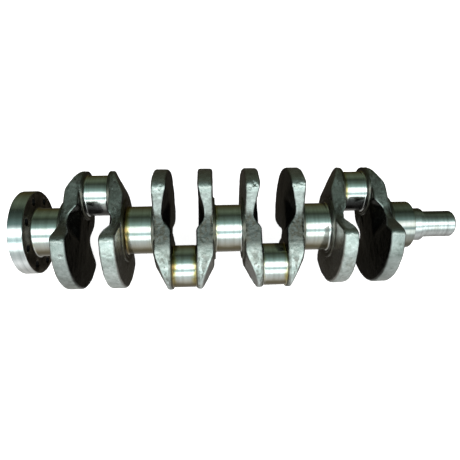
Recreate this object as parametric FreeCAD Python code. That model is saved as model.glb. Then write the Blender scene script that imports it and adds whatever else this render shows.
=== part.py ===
import FreeCAD, Part
import math
import os

# Crankshaft of an inline four-cylinder engine, in mm.
# +X runs from the flywheel flange to the nose, along the shaft axis.
# +Y points at crankpins 1 and 4. +Z is up when the throws lie level.
# The origin is on the shaft axis in the flywheel flange face.

V = FreeCAD.Vector
X_AXIS = V(1, 0, 0)

# driving dimensions
THROW = 48.0
PITCH = 109.0
MAIN_R = 30.0
MAIN_LEN = 33.0
PIN_R = 26.0
PIN_LEN = 29.0
JOURNAL_FILLET = 2.5
FIRST_MAIN_X = 34.5

FLANGE_R = 51.5
FLANGE_T = 17.6
BOLT_PCD = 82.0
BOLT_COUNT = 8
BOLT_CORE_R = 4.4
BOLT_CHAMFER = 0.45

SEAT_START = 484.0
SEAT_R = 21.0
SEAT_END = 501.5
NOSE_R = 16.75
NOSE_END = 544.0
NOSE_THREAD_R = 6.2
NOSE_THREAD_DEPTH = 38.0

WEB_ZONE = (PITCH - MAIN_LEN - PIN_LEN) / 2
MAIN_LAND_R = 39.5
MAIN_LAND_H = 1.7
OUTER_BOSS_R = 32.0
INNER_BOSS_R = 28.5
PIN_LAND_H = 2.5
BODY_T = WEB_ZONE - MAIN_LAND_H - PIN_LAND_H
WAIST_HALF = 37.5
WAIST_R = 16.0
SHOULDER_ANGLE = 47.0
OUTER_WEB_R = 72.5
OUTER_CORNER_R = 9.0
INNER_WEB_R = 76.0
INNER_CORNER_R = 14.0
RIM_ROUND = 3.5
TIP_CONE = (48.0, 0.55)
END_TIP_CONE = (53.5, 0.64)
HOLLOW_FROM = 17.0
HOLLOW_TO = 38.0
# hollows beside the waist: side of the web, depth, and the ramp along y
END_HOLLOWS = [(1, 11.0, (-20.0, 0.0, 8.0, 24.0)), (-1, 5.0, (-33.0, -8.0, 0.0, 13.0))]
SECOND_HOLLOWS = [(side, 8.3, (-20.0, -4.0, 4.0, 17.0)) for side in (-1, 1)]
INNER_HOLLOWS = [(side, 8.3, (-34.0, -8.0, -2.0, 8.0)) for side in (-1, 1)]
# sides on which the web rises to the crankpin land, and where that rise starts and ends
OUTER_CHEEK = (-1,)
INNER_CHEEK = (-1, 1)
CHEEK_RISE = (1.0, 10.0)
CHEEK_INSIDE = 12.0

OIL_R = 2.75
OIL_CROSS_R = 3.5
PLUG_R = 4.0
PLUG_LEN = 6.0
PLUG_SUNK = 2.6
OIL_MOUTH_Y = 67.0
OIL_MOUTH_Z = -9.0
OIL_RUN_ON = 4.0

DOWEL_R = 4.0
DOWEL_LEN = 14.0
DOWEL_DEPTH = 9.0
DOWEL_ANGLE = -22.5

KEY_W = 5.0
KEY_R = 8.0
KEY_H = 6.5
KEY_SUNK = 4.5
GEAR_KEY_X = 513.0
PULLEY_KEY_X = 531.5

# pilot bearing, 17 x 40 x 12
BRG_BORE_R = 8.5
BRG_OUT_R = 20.0
BRG_W = 12.0
BRG_INSET = 1.0
BALL_R = 3.375
BALL_PITCH_R = 14.25
BALL_COUNT = 8
RACE_GAP = 0.02
INNER_LAND_R = 12.25
OUTER_LAND_R = 16.5
CAGE_IN_R = 12.9
CAGE_OUT_R = 15.6
CAGE_T = 0.85
CAGE_GAP = 0.05
POCKET_R = BALL_R + 0.12
POCKET_OUT_R = POCKET_R + 0.7
RIVET_R = 0.6
SHIELD_IN_R = 12.6
SHIELD_OUT_R = 17.6
SHIELD_T = 0.4
SHIELD_X = 4.9
PILOT_RELIEF_R = 15.0
PILOT_RELIEF_DEPTH = 19.0


def rod(x0, x1, r, y=0.0, z=0.0):
    return Part.makeCylinder(r, x1 - x0, V(x0, y, z), X_AXIS)


def prism(points, x0, x1):
    """A straight block whose outline is given as (y, z) pairs."""
    corners = [V(x0, y, z) for y, z in points]
    face = Part.Face(Part.makePolygon(corners + corners[:1]))
    return face.extrude(V(x1 - x0, 0, 0))


def slab(points, z_half):
    """A block whose outline is given as (x, y) pairs, centred on z = 0."""
    corners = [V(x, y, -z_half) for x, y in points]
    face = Part.Face(Part.makePolygon(corners + corners[:1]))
    return face.extrude(V(0, 0, 2 * z_half))


def journal(x0, x1, r, y):
    """A ground journal with a fillet up to the land at each end."""
    f = JOURNAL_FILLET
    bend = f * (1 - math.sqrt(0.5))
    left = Part.Arc(V(x0, r + f, 0), V(x0 + bend, r + bend, 0), V(x0 + f, r, 0))
    right = Part.Arc(V(x1 - f, r, 0), V(x1 - bend, r + bend, 0), V(x1, r + f, 0))
    edges = [
        Part.makeLine(V(x0, 0, 0), V(x0, r + f, 0)),
        left.toShape(),
        Part.makeLine(V(x0 + f, r, 0), V(x1 - f, r, 0)),
        right.toShape(),
        Part.makeLine(V(x1, r + f, 0), V(x1, 0, 0)),
        Part.makeLine(V(x1, 0, 0), V(x0, 0, 0)),
    ]
    solid = Part.Face(Part.Wire(edges)).revolve(V(0, 0, 0), X_AXIS, 360)
    solid.translate(V(0, y, 0))
    return solid


def edges_near(shape, test):
    return [e for e in shape.Edges if test(e.BoundBox.Center, e)]


def arc_edge(a, mid, b):
    return Part.Arc(V(0, *a), V(0, *mid), V(0, *b)).toShape()


def line_edge(a, b):
    return Part.makeLine(V(0, *a), V(0, *b))


def unit(a, b):
    d = math.hypot(b[0] - a[0], b[1] - a[1])
    return (b[0] - a[0]) / d, (b[1] - a[1]) / d


def flank_tangent(boss_r):
    """Where the straight flank leaves the crankpin boss, in (y, z)."""
    reach = math.hypot(THROW, WAIST_HALF)
    turn = math.acos(boss_r / reach)
    angle = math.pi - math.atan2(WAIST_HALF, THROW) - turn
    return THROW + boss_r * math.cos(angle), boss_r * math.sin(angle)


def waist_round(flank, way):
    """Concave rounding where the flank meets the shoulder: start, middle and end."""
    back = unit((0, WAIST_HALF), flank)
    half = math.acos(back[0] * way[0] + back[1] * way[1]) / 2
    run = WAIST_R / math.tan(half)
    start = (back[0] * run, WAIST_HALF + back[1] * run)
    end = (way[0] * run, WAIST_HALF + way[1] * run)
    mid_way = unit((0, 0), (back[0] + way[0], back[1] + way[1]))
    gap = WAIST_R / math.sin(half) - WAIST_R
    return start, (mid_way[0] * gap, WAIST_HALF + mid_way[1] * gap), end


def weight_corner(radius, round_r, way):
    """Rounded corner between the shoulder and the counterweight arc."""
    inward = (-way[1], way[0])
    foot = (inward[0] * round_r, WAIST_HALF + inward[1] * round_r)
    along = foot[0] * way[0] + foot[1] * way[1]
    short = foot[0] ** 2 + foot[1] ** 2 - (radius - round_r) ** 2
    s = -along + math.sqrt(along ** 2 - short)
    centre = (foot[0] + s * way[0], foot[1] + s * way[1])
    start = (centre[0] - inward[0] * round_r, centre[1] - inward[1] * round_r)
    outward = unit((0, 0), centre)
    end = (outward[0] * radius, outward[1] * radius)
    tilt = unit((0, 0), (outward[0] - inward[0], outward[1] - inward[1]))
    mid = (centre[0] + tilt[0] * round_r, centre[1] + tilt[1] * round_r)
    return start, mid, end


def mirrored(point):
    return point[0], -point[1]


def web_outline(radius, round_r, boss_r):
    """Smooth closed outline of one web, crankpin toward +y."""
    flank = flank_tangent(boss_r)
    angle = math.radians(SHOULDER_ANGLE)
    way = (-math.cos(angle), math.sin(angle))
    w0, w1, w2 = waist_round(flank, way)
    c0, c1, c2 = weight_corner(radius, round_r, way)
    upper = [line_edge(flank, w0), arc_edge(w0, w1, w2), line_edge(w2, c0), arc_edge(c0, c1, c2)]
    m = mirrored
    lower = [arc_edge(m(c2), m(c1), m(c0)), line_edge(m(c0), m(w2)),
             arc_edge(m(w2), m(w1), m(w0)), line_edge(m(w0), m(flank))]
    back = arc_edge(c2, (-radius, 0), m(c2))
    tip = arc_edge(m(flank), (THROW + boss_r, 0), flank)
    return Part.Wire(upper + [back] + lower + [tip])


def web_outline_body(radius, round_r, boss_r, t):
    """Web body at x 0..t with every outer edge rounded."""
    body = Part.Face(web_outline(radius, round_r, boss_r)).extrude(V(t, 0, 0))
    rim = edges_near(body, lambda c, e: abs(c.x) < 0.01 or abs(c.x - t) < 0.01)
    return body.makeFillet(RIM_ROUND, rim)


def tip_cone(start_r, slope):
    """Cone turned off the main-bearing side (x = 0) of the tip, about the shaft axis."""
    far = 100.0
    corners = [V(0, start_r, 0), V((far - start_r) * slope, far, 0), V(-20, far, 0), V(-20, start_r, 0)]
    face = Part.Face(Part.makePolygon(corners + corners[:1]))
    face.rotate(V(0, 0, 0), X_AXIS, -60)
    return face.revolve(V(0, 0, 0), X_AXIS, 120)


def neck_hollow(side, depth, ramp):
    """Sloping hollow on the crankpin side (x = BODY_T) at one side of the waist."""
    t = BODY_T
    y0, y1, y2, y3 = ramp
    low = t - depth
    run_on = 5 * (y3 - y2) / depth
    along = slab([(t, y0), (low, y1), (low, y2), (t, y3), (t + 5, y3 + run_on), (t + 5, y0)], 60)
    slope = depth / (HOLLOW_TO - HOLLOW_FROM)
    corners = [V(t + 5, -50, side * (HOLLOW_FROM - 5 / slope)), V(t + 5, -50, side * 70),
               V(t - slope * (70 - HOLLOW_FROM), -50, side * 70)]
    face = Part.Face(Part.makePolygon(corners + corners[:1]))
    return face.extrude(V(0, 100, 0)).common(along)


def cheek(radius, round_r, boss_r, sides):
    """Part of the web beside the crankpin that rises from the body to the land."""
    full = BODY_T + PIN_LAND_H
    y0, y1 = CHEEK_RISE
    low = y0 - (y1 - y0) * 4 / PIN_LAND_H
    zone = slab([(BODY_T - 4, low), (full, y1), (full + 1, y1), (full + 1, 100), (BODY_T - 4, 100)], 60)
    if len(sides) == 1:
        half = Part.makeBox(40, 120, 60, V(0, -20, CHEEK_INSIDE))
        if sides[0] < 0:
            half = half.mirror(V(0, 0, 0), V(0, 0, 1))
        zone = zone.common(half)
    return web_outline_body(radius, round_r, boss_r, full).common(zone)


def make_web(radius, round_r, boss_r, cone, hollows, cheek_sides):
    """One web from the main bearing (x = 0) to the crankpin (x = WEB_ZONE)."""
    body = web_outline_body(radius, round_r, boss_r, BODY_T)
    body = body.fuse(cheek(radius, round_r, boss_r, cheek_sides))
    body = body.cut(tip_cone(*cone))
    for hollow in hollows:
        body = body.cut(neck_hollow(*hollow))
    body.translate(V(MAIN_LAND_H, 0, 0))
    main_land = rod(0, MAIN_LAND_H + 1, MAIN_LAND_R)
    pin_land = rod(MAIN_LAND_H + BODY_T - 1, WEB_ZONE, boss_r, THROW)
    return body.fuse([main_land, pin_land]).removeSplitter()


def placed_web(web, x, toward_nose, pin_sign):
    """Put a web at its main-bearing face; mirror it for the side and turn it for the throw."""
    one = web.copy() if toward_nose else web.mirror(V(0, 0, 0), X_AXIS)
    if pin_sign < 0:
        one.rotate(V(0, 0, 0), X_AXIS, 180)
    one.translate(V(x, 0, 0))
    return one


def main_x(k):
    return FIRST_MAIN_X + PITCH * k


def pin_x(k):
    return FIRST_MAIN_X + PITCH * (k + 0.5)


PIN_SIGN = [1, -1, -1, 1]


def oil_path(k):
    """Mouth on the far web's tip cone, end on the shaft axis and mid-pin point of one drilling."""
    s = PIN_SIGN[k]
    way = 1 if k < 2 else -1
    feed = main_x(k) if k < 2 else main_x(k + 1)
    cone_r, cone_slope = TIP_CONE
    drop = cone_slope * (math.hypot(OIL_MOUTH_Y, OIL_MOUTH_Z) - cone_r)
    bevel_x = PITCH - MAIN_LEN / 2 - MAIN_LAND_H - drop
    share = PITCH / 2 / bevel_x
    mouth = V(feed + way * bevel_x, s * OIL_MOUTH_Y, OIL_MOUTH_Z)
    mid_pin = V(pin_x(k), s * OIL_MOUTH_Y * share, OIL_MOUTH_Z * share)
    return mouth, V(feed, 0, 0), mid_pin


def oil_drillings(k):
    """Oblique drilling with its plug seat, and the two radial holes that it joins."""
    mouth, end, mid_pin = oil_path(k)
    along = end.sub(mouth).normalize()
    outer = mouth.sub(along * 12)
    slant = Part.makeCylinder(OIL_R, end.sub(outer).Length + OIL_RUN_ON, outer, along)
    seat = Part.makeCylinder(PLUG_R, 12 + PLUG_SUNK + PLUG_LEN, outer, along)
    pin_hole = Part.makeCylinder(OIL_CROSS_R, 40, mid_pin, V(0, 0, -1))
    main_hole = Part.makeCylinder(OIL_CROSS_R, 40 + OIL_RUN_ON, end.add(V(0, 0, OIL_RUN_ON)), V(0, 0, -1))
    return [slant, seat, pin_hole, main_hole]


def plug(k):
    mouth, end, mid_pin = oil_path(k)
    along = end.sub(mouth).normalize()
    return Part.makeCylinder(PLUG_R, PLUG_LEN, mouth.add(along * PLUG_SUNK), along)


def at_angle(r, degrees):
    a = math.radians(degrees)
    return r * math.cos(a), r * math.sin(a)


def flange():
    disc = rod(0, FLANGE_T, FLANGE_R)
    return disc.makeChamfer(1.0, [e for e in disc.Edges if e.Curve.TypeId == "Part::GeomCircle"])


def bolt_hole(k):
    y, z = at_angle(BOLT_PCD / 2, 360.0 / BOLT_COUNT * k)
    big = BOLT_CORE_R + BOLT_CHAMFER
    lead_in = Part.makeCone(big, BOLT_CORE_R, BOLT_CHAMFER, V(0, y, z), X_AXIS)
    lead_out = Part.makeCone(BOLT_CORE_R, big, BOLT_CHAMFER,
                             V(FLANGE_T - BOLT_CHAMFER, y, z), X_AXIS)
    return rod(-1, FLANGE_T + 1, BOLT_CORE_R, y, z).fuse([lead_in, lead_out])


def pilot_bore():
    seat = rod(-1, BRG_INSET + BRG_W, BRG_OUT_R)
    relief = rod(-1, PILOT_RELIEF_DEPTH, PILOT_RELIEF_R)
    point = Part.makeCone(PILOT_RELIEF_R, 0, 9.0, V(PILOT_RELIEF_DEPTH, 0, 0), X_AXIS)
    return seat.fuse([relief, point])


def dowel():
    y, z = at_angle(BOLT_PCD / 2, DOWEL_ANGLE)
    pin = rod(DOWEL_DEPTH - DOWEL_LEN, DOWEL_DEPTH, DOWEL_R, y, z)
    return pin.makeChamfer(0.8, [e for e in pin.Edges if e.Curve.TypeId == "Part::GeomCircle"])


def woodruff_key(x):
    """Half-moon key, round side in the shaft, on the under side of the nose."""
    top_z = -(NOSE_R + KEY_H - KEY_SUNK)
    centre_z = top_z - KEY_R + KEY_H
    disc = Part.makeCylinder(KEY_R, KEY_W, V(x, -KEY_W / 2, centre_z), V(0, 1, 0))
    keep = Part.makeBox(4 * KEY_R, KEY_W, KEY_H + 1, V(x - 2 * KEY_R, -KEY_W / 2, top_z))
    return disc.common(keep)


def nose():
    seat = rod(SEAT_START - 1, SEAT_END, SEAT_R)
    seat = seat.makeChamfer(1.0, edges_near(seat, lambda c, e: abs(c.x - SEAT_END) < 0.01))
    stub = rod(SEAT_END - 1, NOSE_END, NOSE_R)
    stub = stub.makeChamfer(2.5, edges_near(stub, lambda c, e: abs(c.x - NOSE_END) < 0.01))
    thread = rod(NOSE_END - NOSE_THREAD_DEPTH, NOSE_END + 1, NOSE_THREAD_R)
    tip = Part.makeCone(0, NOSE_THREAD_R, 3.5, V(NOSE_END - NOSE_THREAD_DEPTH - 3.5, 0, 0), X_AXIS)
    mouth = Part.makeCone(NOSE_THREAD_R, NOSE_THREAD_R + 2.0, 2.0, V(NOSE_END - 2.0, 0, 0), X_AXIS)
    return seat.fuse(stub).cut(thread.fuse([tip, mouth]))


def front_main():
    """Main journal 1: filleted at the web, chamfered at the open front end."""
    solid = journal(main_x(4) - MAIN_LEN / 2, SEAT_START + 10, MAIN_R, 0)
    solid = solid.common(rod(0, SEAT_START, MAIN_R + 10))
    trim = rod(0, SEAT_START, MAIN_R)
    edge = edges_near(trim, lambda c, e: abs(c.x - SEAT_START) < 0.01)
    keep = trim.makeChamfer(0.8, edge).fuse(rod(0, SEAT_START - 15, MAIN_R + 10))
    return solid.common(keep)


def forging():
    bodies = [flange(), nose(), front_main()]
    for k in range(4):
        x0 = FLANGE_T if k == 0 else main_x(k) - MAIN_LEN / 2
        bodies.append(journal(x0, main_x(k) + MAIN_LEN / 2, MAIN_R, 0))
    outer = (OUTER_WEB_R, OUTER_CORNER_R, OUTER_BOSS_R)
    inner = (INNER_WEB_R, INNER_CORNER_R, INNER_BOSS_R)
    end_web = make_web(*outer, END_TIP_CONE, END_HOLLOWS, OUTER_CHEEK)
    second_web = make_web(*outer, TIP_CONE, SECOND_HOLLOWS, OUTER_CHEEK)
    inner_web = make_web(*inner, TIP_CONE, INNER_HOLLOWS, INNER_CHEEK)
    pairs = [(end_web, second_web), (inner_web, inner_web), (inner_web, inner_web), (second_web, end_web)]
    for k in range(4):
        s = PIN_SIGN[k]
        bodies.append(journal(pin_x(k) - PIN_LEN / 2, pin_x(k) + PIN_LEN / 2, PIN_R, s * THROW))
        bodies.append(placed_web(pairs[k][0], main_x(k) + MAIN_LEN / 2, True, s))
        bodies.append(placed_web(pairs[k][1], main_x(k + 1) - MAIN_LEN / 2, False, s))
    solid = bodies[0]
    for body in sorted(bodies[1:], key=lambda b: b.BoundBox.XMin):
        solid = solid.fuse(body)
    cuts = [pilot_bore(), woodruff_key(GEAR_KEY_X), woodruff_key(PULLEY_KEY_X)]
    cuts += [bolt_hole(k) for k in range(BOLT_COUNT)]
    y, z = at_angle(BOLT_PCD / 2, DOWEL_ANGLE)
    cuts.append(rod(-1, DOWEL_DEPTH, DOWEL_R, y, z))
    for k in range(4):
        cuts += oil_drillings(k)
    for cut in cuts:
        solid = solid.cut(cut)
    return Part.Solid(solid.Shells[0])


def ring(x0, x1, r_in, r_out):
    return rod(x0, x1, r_out).cut(rod(x0 - 1, x1 + 1, r_in))


BRG_X = BRG_INSET + BRG_W / 2


def groove(r_groove):
    return Part.makeTorus(BALL_PITCH_R, r_groove, V(BRG_X, 0, 0), X_AXIS)


def outer_ring():
    body = ring(BRG_X - BRG_W / 2, BRG_X + BRG_W / 2, OUTER_LAND_R, BRG_OUT_R)
    steps = [ring(BRG_X + SHIELD_X, BRG_X + BRG_W, 5, SHIELD_OUT_R),
             ring(BRG_X - BRG_W, BRG_X - SHIELD_X, 5, SHIELD_OUT_R)]
    return body.cut([groove(BALL_R + RACE_GAP)] + steps)


def inner_ring():
    body = ring(BRG_X - BRG_W / 2, BRG_X + BRG_W / 2, BRG_BORE_R, INNER_LAND_R)
    rims = edges_near(body, lambda c, e: e.Curve.TypeId == "Part::GeomCircle"
                      and abs(e.Curve.Radius - BRG_BORE_R) < 0.01)
    return body.makeChamfer(0.5, rims).cut(groove(BALL_R + RACE_GAP))


def ball(k):
    y, z = at_angle(BALL_PITCH_R, 360.0 / BALL_COUNT * k)
    return Part.makeSphere(BALL_R, V(BRG_X, y, z))


def cage_spots(offset):
    step = 360.0 / BALL_COUNT
    return [at_angle(BALL_PITCH_R, step * (k + offset)) for k in range(BALL_COUNT)]


def cage_half(side):
    """One half of the pressed ribbon cage; side is -1 or +1 along x."""
    near = BRG_X + side * CAGE_GAP
    far = BRG_X + side * (CAGE_GAP + CAGE_T)
    flat = ring(min(near, far), max(near, far), CAGE_IN_R, CAGE_OUT_R)
    deep = BRG_X + side * 5.0
    band = ring(min(near, deep), max(near, deep), CAGE_IN_R, CAGE_OUT_R)
    domes = [Part.makeSphere(POCKET_OUT_R, V(BRG_X, y, z)).common(band) for y, z in cage_spots(0)]
    holes = [Part.makeSphere(POCKET_R, V(BRG_X, y, z)) for y, z in cage_spots(0)]
    holes += [rod(BRG_X - 3, BRG_X + 3, RIVET_R, y, z) for y, z in cage_spots(0.5)]
    return flat.fuse(domes).cut(holes)


def cage_rivets():
    reach = CAGE_GAP + CAGE_T
    rivets = []
    for y, z in cage_spots(0.5):
        shank = rod(BRG_X - reach - 0.3, BRG_X + reach + 0.3, RIVET_R, y, z)
        heads = [rod(BRG_X + reach, BRG_X + reach + 0.35, RIVET_R + 0.35, y, z),
                 rod(BRG_X - reach - 0.35, BRG_X - reach, RIVET_R + 0.35, y, z)]
        rivets.append(shank.fuse(heads).removeSplitter())
    return Part.makeCompound(rivets)


def shield(side):
    near = BRG_X + side * SHIELD_X
    far = BRG_X + side * (SHIELD_X + SHIELD_T)
    return ring(min(near, far), max(near, far), SHIELD_IN_R, SHIELD_OUT_R)


def all_nodes():
    nodes = {"crankshaft_forging": forging(), "flywheel_dowel_pin": dowel()}
    nodes["timing_gear_key"] = woodruff_key(GEAR_KEY_X)
    nodes["pulley_key"] = woodruff_key(PULLEY_KEY_X)
    for k in range(4):
        nodes["oil_gallery_plug_%d" % (4 - k)] = plug(k)
    nodes["pilot_bearing_outer_ring"] = outer_ring()
    nodes["pilot_bearing_inner_ring"] = inner_ring()
    for k in range(BALL_COUNT):
        nodes["pilot_ball_%d" % (k + 1)] = ball(k)
    nodes["pilot_cage_half_front"] = cage_half(1)
    nodes["pilot_cage_half_rear"] = cage_half(-1)
    nodes["pilot_cage_rivets"] = cage_rivets()
    nodes["pilot_shield_front"] = shield(1)
    nodes["pilot_shield_rear"] = shield(-1)
    return nodes


os.makedirs("parts", exist_ok=True)
for name, shape in all_nodes().items():
    shape.exportStep("parts/%s.step" % name)
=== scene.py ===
import math

import bpy
import numpy as np
from mathutils import Matrix, Vector


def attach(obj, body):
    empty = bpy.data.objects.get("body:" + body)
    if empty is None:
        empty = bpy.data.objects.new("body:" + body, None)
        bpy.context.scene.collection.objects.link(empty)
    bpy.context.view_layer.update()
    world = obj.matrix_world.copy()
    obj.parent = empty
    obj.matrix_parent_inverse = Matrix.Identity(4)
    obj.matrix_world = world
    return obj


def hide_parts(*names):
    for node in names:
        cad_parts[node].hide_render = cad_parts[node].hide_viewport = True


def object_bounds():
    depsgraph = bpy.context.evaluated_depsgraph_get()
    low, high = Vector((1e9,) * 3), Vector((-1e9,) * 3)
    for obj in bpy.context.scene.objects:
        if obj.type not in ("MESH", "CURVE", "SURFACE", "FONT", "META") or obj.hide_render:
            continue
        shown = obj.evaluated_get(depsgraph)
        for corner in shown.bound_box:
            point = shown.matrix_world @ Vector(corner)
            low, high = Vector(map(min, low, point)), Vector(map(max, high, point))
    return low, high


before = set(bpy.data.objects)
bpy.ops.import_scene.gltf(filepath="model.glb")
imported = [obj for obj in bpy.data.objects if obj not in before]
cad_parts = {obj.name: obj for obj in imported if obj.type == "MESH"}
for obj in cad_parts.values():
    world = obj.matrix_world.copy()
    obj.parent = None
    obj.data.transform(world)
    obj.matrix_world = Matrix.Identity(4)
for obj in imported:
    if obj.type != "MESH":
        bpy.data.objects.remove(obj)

cad_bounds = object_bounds()

# Crankshaft looks. Lengths in the modelling functions are millimetres; meshes are written in metres.
THROW, PITCH = 48.0, 109.0
MAIN_R, PIN_R = 30.0, 26.0
MAIN_LEN, PIN_LEN = 33.0, 29.0
WEB_ZONE, MAIN_LAND, PIN_LAND = 23.5, 1.7, 2.5
BODY_T = WEB_ZONE - MAIN_LAND - PIN_LAND
LAND_R = 39.5
FIRST_MAIN = 34.5
FLANGE_R, FLANGE_T = 51.5, 17.6
BOLT_CIRCLE_R, BOLT_HOLE_R, DOWEL_R, DOWEL_DEPTH = 41.0, 4.4, 4.0, 9.0
BEARING_R, BEARING_DEPTH = 20.0, 13.0
LAST_MAIN_END, SEAT_END, NOSE_END = 484.0, 501.5, 544.0
SEAT_R, NOSE_R, THREAD_R, THREAD_DEPTH, THREAD_PITCH = 21.0, 16.75, 6.9, 35.0, 1.5
KEY_X, KEY_W, KEY_DISC_R, KEY_Z = (513.0, 531.5), 5.0, 8.0, -20.25
OIL_HOLE = [(0, 6.5), (0.28, 4.6), (0.34, 3.6), (1, 3.5)]
PIN_OIL_HOLE = [(0, 6.2)] + OIL_HOLE[1:]
WAIST_HALF, WAIST_R, SHOULDER_ANGLE = 37.5, 16.0, 47.0
OUTER = dict(radius=72.5, corner=9.0, boss=32.0)
INNER = dict(radius=76.0, corner=14.0, boss=28.5)
PIN_SIGN = [1, -1, -1, 1]
TIP_CONE, END_TIP_CONE = (48.0, 0.55), (53.5, 0.64)
# hollows beside the waist: side, depth, ramp along p
END_HOLLOWS = [(1, 11.0, (-20.0, 0.0, 8.0, 24.0)), (-1, 5.0, (-33.0, -8.0, 0.0, 13.0))]
SECOND_HOLLOWS = [(side, 8.3, (-20.0, -4.0, 4.0, 17.0)) for side in (-1, 1)]
INNER_HOLLOWS = [(side, 8.3, (-34.0, -8.0, -2.0, 8.0)) for side in (-1, 1)]
STEP = 0.85
# how strongly dried oil stains the flange-side and nose-side end of each journal, from the flange on
MAIN_STAIN = [(0.45, 0.2), (1.0, 0.35), (0.65, 0.3), (0.35, 0.35), (0.2, 0.0)]
PIN_STAIN = [(0.35, 0.25), (0.95, 0.85), (0.45, 0.7), (0.9, 0.3)]
OIL_REACH = PITCH - MAIN_LEN / 2 - MAIN_LAND - 0.55 * (math.hypot(67.0, 9.0) - 48.0)
FORGING = "crankshaft_forging"


def main_x(k):
    return FIRST_MAIN + PITCH * k


def pin_x(k):
    return FIRST_MAIN + PITCH * (k + 0.5)


# ---------------------------------------------------------------- meshes

def add_mesh(name, verts, faces, sharp=None):
    """A smooth-shaded object from vertices in millimetres."""
    mesh = bpy.data.meshes.new(name)
    mesh.from_pydata((np.asarray(verts) / 1000.0).tolist(), [], [list(f) for f in faces])
    mesh.update()
    mesh.shade_smooth()
    if sharp:
        mesh.set_sharp_from_angle(angle=math.radians(sharp))
    obj = bpy.data.objects.new(name, mesh)
    bpy.context.collection.objects.link(obj)
    return obj


def add_grid_mesh(name, verts, quads):
    """The same for a large array of quads."""
    mesh = bpy.data.meshes.new(name)
    n = len(quads)
    mesh.vertices.add(len(verts))
    mesh.vertices.foreach_set("co", (verts / 1000.0).astype(np.float32).ravel())
    mesh.loops.add(4 * n)
    mesh.loops.foreach_set("vertex_index", quads.astype(np.int32).ravel())
    mesh.polygons.add(n)
    mesh.polygons.foreach_set("loop_start", np.arange(0, 4 * n, 4, dtype=np.int32))
    mesh.update(calc_edges=True)
    mesh.validate()
    mesh.shade_smooth()
    obj = bpy.data.objects.new(name, mesh)
    bpy.context.collection.objects.link(obj)
    return obj


def lathe(name, profile, y=0.0, segments=160, sharp=28):
    """Turns (x, r) points about an axis parallel to X at height y; the ends close on the axis."""
    angles = np.linspace(0, 2 * math.pi, segments, endpoint=False)
    verts, faces = [], []
    for x, r in profile:
        ring = np.stack([np.full(segments, x), y + r * np.cos(angles), r * np.sin(angles)], 1)
        verts.append(ring)
    verts = np.concatenate(verts)
    for i in range(len(profile) - 1):
        a, b = i * segments, (i + 1) * segments
        for j in range(segments):
            j2 = (j + 1) % segments
            faces.append((a + j, a + j2, b + j2, b + j))
    first, last = len(verts), len(verts) + 1
    verts = np.concatenate([verts, [[profile[0][0], y, 0], [profile[-1][0], y, 0]]])
    end = (len(profile) - 1) * segments
    for j in range(segments):
        j2 = (j + 1) % segments
        faces.append((first, j2, j))
        faces.append((last, end + j, end + j2))
    return add_mesh(name, verts, faces, sharp)


def cut_with(obj, tools):
    """Subtracts closed tool objects from obj and deletes them."""
    for tool in tools:
        mod = obj.modifiers.new("cut", "BOOLEAN")
        mod.operation = "DIFFERENCE"
        mod.solver = "EXACT"
        mod.object = tool
    graph = bpy.context.evaluated_depsgraph_get()
    mesh = bpy.data.meshes.new_from_object(obj.evaluated_get(graph), depsgraph=graph)
    old = obj.data
    obj.modifiers.clear()
    obj.data = mesh
    bpy.data.meshes.remove(old)
    for tool in tools:
        bpy.data.objects.remove(tool, do_unlink=True)


def drill(start, end, profile):
    """A round cutting tool along start..end; profile holds (share of length, radius)."""
    start, end = Vector(start), Vector(end)
    along = end - start
    pts = [(s * along.length, r) for s, r in profile]
    tool = lathe("tool", pts, segments=40)
    turn = Vector((1, 0, 0)).rotation_difference(along.normalized()).to_matrix().to_4x4()
    place = Matrix.Translation(start / 1000.0) @ turn
    tool.data.transform(place)
    return tool


# ---------------------------------------------------------------- web outline

def unit(a):
    return a / np.linalg.norm(a)


def arc_points(centre, start, end, steps, long_way=False):
    a0 = math.atan2(*(start - centre)[::-1])
    a1 = math.atan2(*(end - centre)[::-1])
    turn = (a1 - a0 + math.pi) % (2 * math.pi) - math.pi
    if long_way:
        turn -= math.copysign(2 * math.pi, turn)
    r = np.linalg.norm(start - centre)
    angles = a0 + np.linspace(0, turn, steps)
    return np.stack([centre[0] + r * np.cos(angles), centre[1] + r * np.sin(angles)], 1)


def web_outline(radius, corner, boss):
    """Closed outline in (p, q): p toward the web's own crankpin, q sideways."""
    reach = math.hypot(THROW, WAIST_HALF)
    angle = math.pi - math.atan2(WAIST_HALF, THROW) - math.acos(boss / reach)
    flank = np.array([THROW + boss * math.cos(angle), boss * math.sin(angle)])
    way = np.array([-math.cos(math.radians(SHOULDER_ANGLE)), math.sin(math.radians(SHOULDER_ANGLE))])
    knee = np.array([0.0, WAIST_HALF])
    back = unit(flank - knee)
    half = math.acos(back @ way) / 2
    run = WAIST_R / math.tan(half)
    hollow = knee + unit(back + way) * WAIST_R / math.sin(half)
    inward = np.array([-way[1], way[0]])
    foot = knee + inward * corner
    along = foot @ way
    s = -along + math.sqrt(along ** 2 - foot @ foot + (radius - corner) ** 2)
    centre = foot + s * way
    outer = unit(centre) * radius
    upper = [
        arc_points(np.array([THROW, 0.0]), np.array([THROW + boss, 0.0]), flank, 24),
        arc_points(hollow, knee + back * run, knee + way * run, 14),
        arc_points(centre, centre - inward * corner, outer, 14),
        arc_points(np.zeros(2), outer, np.array([-radius, 0.0]), 40),
    ]
    upper = np.concatenate(upper)
    lower = upper[::-1][1:-1] * np.array([1, -1])
    return np.concatenate([upper, lower])


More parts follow.
